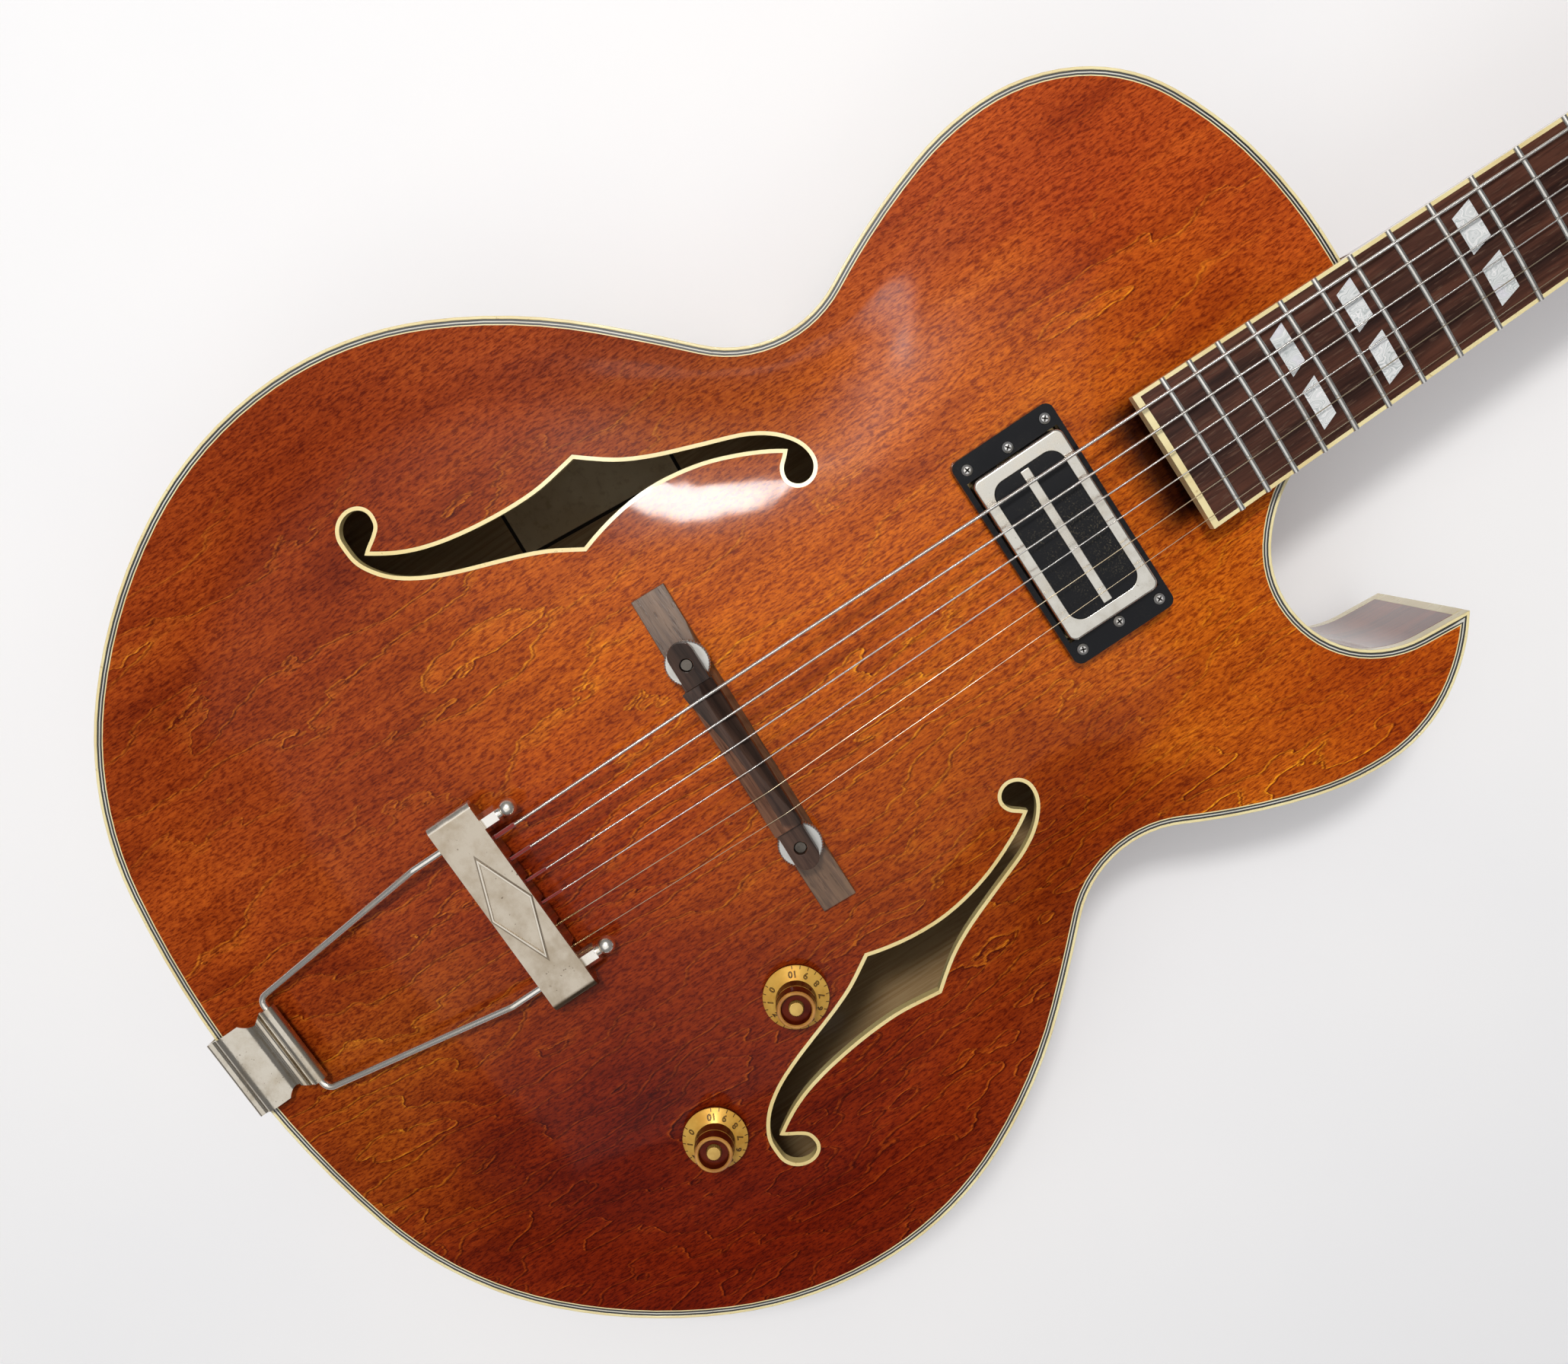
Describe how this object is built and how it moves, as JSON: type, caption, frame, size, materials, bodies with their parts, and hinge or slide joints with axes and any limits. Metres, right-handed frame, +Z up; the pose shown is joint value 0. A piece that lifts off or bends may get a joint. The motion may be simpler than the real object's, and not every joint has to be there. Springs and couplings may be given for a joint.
{
  "type": "archtop guitar",
  "caption": "Hollow-body archtop electric guitar with sharp cutaway, bound f-holes, trapeze tailpiece, height-adjustable bridge and pickup, and turning knobs and tuners.",
  "frame": {"origin": "below the middle of the whole guitar, at the lowest point of the arched back", "axes": "+X to the treble side, +Y along the neck to the headstock, +Z up out of the top"},
  "size_m": [0.4252, 1.0686, 0.1382],
  "materials": {
    "amber_maple": "high gloss over a warm amber stain",
    "cream_binding": "polished",
    "purfling": "black and white lines, lacquered",
    "bare_wood": "unfinished",
    "rosewood": "oiled",
    "dark_rosewood": "polished",
    "neck_wood": "gloss over an amber stain",
    "fret_wire": "polished nickel silver",
    "pearl": "iridescent",
    "string_wire": "wound and plain wire",
    "bone": "polished bone",
    "steel": "bright",
    "black_veneer": "polished",
    "nickel": "polished nickel",
    "tuner_key": "polished nickel",
    "pale_metal": "knurled edge",
    "black_plastic": "satin",
    "amber_knob": "clear amber over a gold underside",
    "pot_metal": "plain",
    "plated_brass": "plain"
  },
  "bodies": {
    "guitar": {"back_binding": "cream_binding", "back_plate": "amber_maple", "bridge_base": "rosewood", "bridge_posts": "steel", "end_pin": "nickel", "f_hole_bindings": "cream_binding", "fingerboard": "rosewood", "fingerboard_binding": "cream_binding", "frets": "fret_wire", "headstock_veneer": "black_veneer", "horn_binding": "cream_binding", "linings": "bare_wood", "neck": "neck_wood", "neck_block": "bare_wood", "nut": "bone", "output_jack": "nickel", "pickup_ring": "black_plastic", "pickup_springs": "steel", "position_inlays": "pearl", "potentiometers": "pot_metal", "rim": "amber_maple", "ring_screws": "steel", "strings": "string_wire", "tail_block": "bare_wood", "tailpiece_bracket": "nickel", "tailpiece_crossbar": "nickel", "tailpiece_nuts": "nickel", "tailpiece_string_block": "nickel", "tailpiece_trapeze": "nickel", "tone_bars": "bare_wood", "top_binding": "cream_binding", "top_plate": "amber_maple", "top_purfling": "purfling", "truss_rod": "steel", "truss_rod_cover": "black_veneer", "tuner_bushings": "nickel", "tuner_housings": "nickel"},
    "volume_knob": {"volume_knob": "amber_knob"},
    "tone_knob": {"tone_knob": "amber_knob"},
    "bridge_saddle": {"bridge_saddle": "dark_rosewood"},
    "thumbwheel_bass": {"thumbwheel_bass": "pale_metal"},
    "thumbwheel_treble": {"thumbwheel_treble": "pale_metal"},
    "pickup": {"pickup_cover": "nickel", "pickup_insert": "black_plastic", "pickup_blade": "steel", "pickup_base_plate": "plated_brass"},
    "height_screw_bass": {"height_screw_bass": "steel"},
    "height_screw_treble": {"height_screw_treble": "steel"},
    "tuner_key_1": {"tuner_key_1": "tuner_key"},
    "tuner_post_1": {"tuner_post_1": "nickel"},
    "tuner_key_2": {"tuner_key_2": "tuner_key"},
    "tuner_post_2": {"tuner_post_2": "nickel"},
    "tuner_key_3": {"tuner_key_3": "tuner_key"},
    "tuner_post_3": {"tuner_post_3": "nickel"},
    "tuner_key_4": {"tuner_key_4": "tuner_key"},
    "tuner_post_4": {"tuner_post_4": "nickel"},
    "tuner_key_5": {"tuner_key_5": "tuner_key"},
    "tuner_post_5": {"tuner_post_5": "nickel"},
    "tuner_key_6": {"tuner_key_6": "tuner_key"},
    "tuner_post_6": {"tuner_post_6": "nickel"}
  },
  "joints": [
    {"name": "volume_turn", "type": "hinge", "parent": "guitar", "child": "volume_knob", "pos_m": [0.0912, -0.31543, 0.119], "axis": [0, 0, 1], "range_deg": [-150, 150]},
    {"name": "tone_turn", "type": "hinge", "parent": "guitar", "child": "tone_knob", "pos_m": [0.1224, -0.37433, 0.115], "axis": [0, 0, 1], "range_deg": [-150, 150]},
    {"name": "key_1_turn", "type": "hinge", "parent": "guitar", "child": "tuner_key_1", "pos_m": [0.025, 0.38495, 0.06408], "axis": [1, 0, 0], "continuous": true},
    {"name": "post_1_turn", "type": "hinge", "parent": "guitar", "child": "tuner_post_1", "pos_m": [0.025, 0.39818, 0.08015], "axis": [0, 0.2949, 0.9555], "continuous": true},
    {"name": "key_2_turn", "type": "hinge", "parent": "guitar", "child": "tuner_key_2", "pos_m": [0.0262, 0.42795, 0.05081], "axis": [1, 0, 0], "continuous": true},
    {"name": "post_2_turn", "type": "hinge", "parent": "guitar", "child": "tuner_post_2", "pos_m": [0.0262, 0.44118, 0.06688], "axis": [0, 0.2949, 0.9555], "continuous": true},
    {"name": "key_3_turn", "type": "hinge", "parent": "guitar", "child": "tuner_key_3", "pos_m": [0.0274, 0.47095, 0.03754], "axis": [1, 0, 0], "continuous": true},
    {"name": "post_3_turn", "type": "hinge", "parent": "guitar", "child": "tuner_post_3", "pos_m": [0.0274, 0.48418, 0.05361], "axis": [0, 0.2949, 0.9555], "continuous": true},
    {"name": "key_4_turn", "type": "hinge", "parent": "guitar", "child": "tuner_key_4", "pos_m": [-0.0274, 0.47095, 0.03754], "axis": [-1, 0, 0], "continuous": true},
    {"name": "post_4_turn", "type": "hinge", "parent": "guitar", "child": "tuner_post_4", "pos_m": [-0.0274, 0.48418, 0.05361], "axis": [0, 0.2949, 0.9555], "continuous": true},
    {"name": "key_5_turn", "type": "hinge", "parent": "guitar", "child": "tuner_key_5", "pos_m": [-0.0262, 0.42795, 0.05081], "axis": [-1, 0, 0], "continuous": true},
    {"name": "post_5_turn", "type": "hinge", "parent": "guitar", "child": "tuner_post_5", "pos_m": [-0.0262, 0.44118, 0.06688], "axis": [0, 0.2949, 0.9555], "continuous": true},
    {"name": "key_6_turn", "type": "hinge", "parent": "guitar", "child": "tuner_key_6", "pos_m": [-0.025, 0.38495, 0.06408], "axis": [-1, 0, 0], "continuous": true},
    {"name": "post_6_turn", "type": "hinge", "parent": "guitar", "child": "tuner_post_6", "pos_m": [-0.025, 0.39818, 0.08015], "axis": [0, 0.2949, 0.9555], "continuous": true},
    {"name": "saddle_height", "type": "slide", "parent": "guitar", "child": "bridge_saddle", "axis": [0, 0, 1], "range_m": [-0.0016, 0.003], "deforming": ["strings"]},
    {"name": "wheel_bass_turn", "type": "hinge", "parent": "bridge_saddle", "child": "thumbwheel_bass", "pos_m": [-0.03886, -0.27583, 0.1265], "axis": [0, 0, 1], "range_deg": [-830, 1550]},
    {"name": "wheel_treble_turn", "type": "hinge", "parent": "bridge_saddle", "child": "thumbwheel_treble", "pos_m": [0.04046, -0.27943, 0.1265], "axis": [0, 0, 1], "range_deg": [-830, 1550]},
    {"name": "pickup_height", "type": "slide", "parent": "guitar", "child": "pickup", "axis": [0, 0, 1], "range_m": [-0.003, 0.002], "deforming": ["pickup_springs"]},
    {"name": "screw_bass_turn", "type": "hinge", "parent": "guitar", "child": "height_screw_bass", "pos_m": [-0.0386, -0.1346, 0.1176], "axis": [0, 0, 1], "range_deg": [-2200, 1480]},
    {"name": "screw_treble_turn", "type": "hinge", "parent": "guitar", "child": "height_screw_treble", "pos_m": [0.0386, -0.1346, 0.1176], "axis": [0, 0, 1], "range_deg": [-2200, 1480]}
  ],
  "couplings": [
    {"joint": "post_1_turn", "follows": "key_1_turn", "ratio": 0.071429},
    {"joint": "post_2_turn", "follows": "key_2_turn", "ratio": 0.071429},
    {"joint": "post_3_turn", "follows": "key_3_turn", "ratio": 0.071429},
    {"joint": "post_4_turn", "follows": "key_4_turn", "ratio": 0.071429},
    {"joint": "post_5_turn", "follows": "key_5_turn", "ratio": 0.071429},
    {"joint": "post_6_turn", "follows": "key_6_turn", "ratio": 0.071429},
    {"joint": "wheel_bass_turn", "follows": "saddle_height", "rad_per_m": 8976},
    {"joint": "wheel_treble_turn", "follows": "saddle_height", "rad_per_m": 8976},
    {"joint": "screw_bass_turn", "follows": "pickup_height", "rad_per_m": 12566},
    {"joint": "screw_treble_turn", "follows": "pickup_height", "rad_per_m": 12566}
  ]
}
